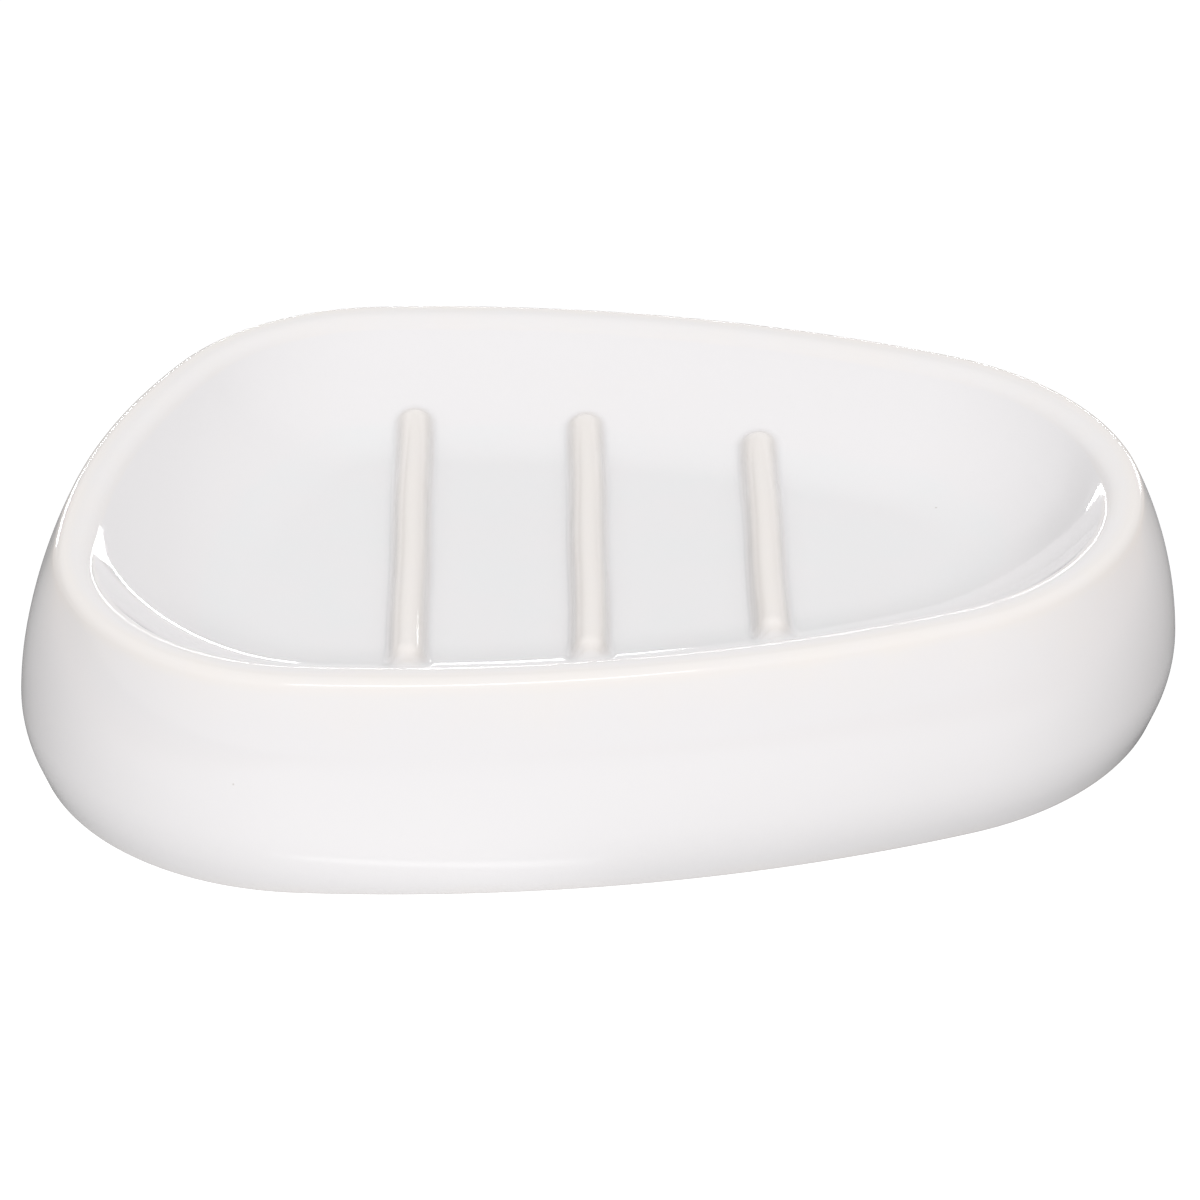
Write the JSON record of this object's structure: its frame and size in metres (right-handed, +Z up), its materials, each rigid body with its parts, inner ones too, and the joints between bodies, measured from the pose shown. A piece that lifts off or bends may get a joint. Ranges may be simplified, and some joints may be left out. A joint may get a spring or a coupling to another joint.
{
  "type": "soap dish",
  "caption": "Low pebble-shaped soap dish in glossy white glazed ceramic, with a shallow bowl, raised soap ribs, a hollow underside and soft stick-on pads.",
  "frame": {"origin": "middle of the outline, on the surface that the pads stand on", "axes": "+X along the dish towards its round tip, +Y away from the long front side, +Z up"},
  "size_m": [0.1351, 0.0981, 0.0281],
  "materials": {
    "white_glaze": "gloss",
    "pad_rubber": "satin",
    "adhesive_film": "satin"
  },
  "bodies": {
    "root": {"dish": "white_glaze", "pad_tip": "pad_rubber", "pad_back_left": "pad_rubber", "pad_front_left": "pad_rubber", "adhesive_tip": "adhesive_film", "adhesive_back_left": "adhesive_film", "adhesive_front_left": "adhesive_film"}
  },
  "joints": []
}
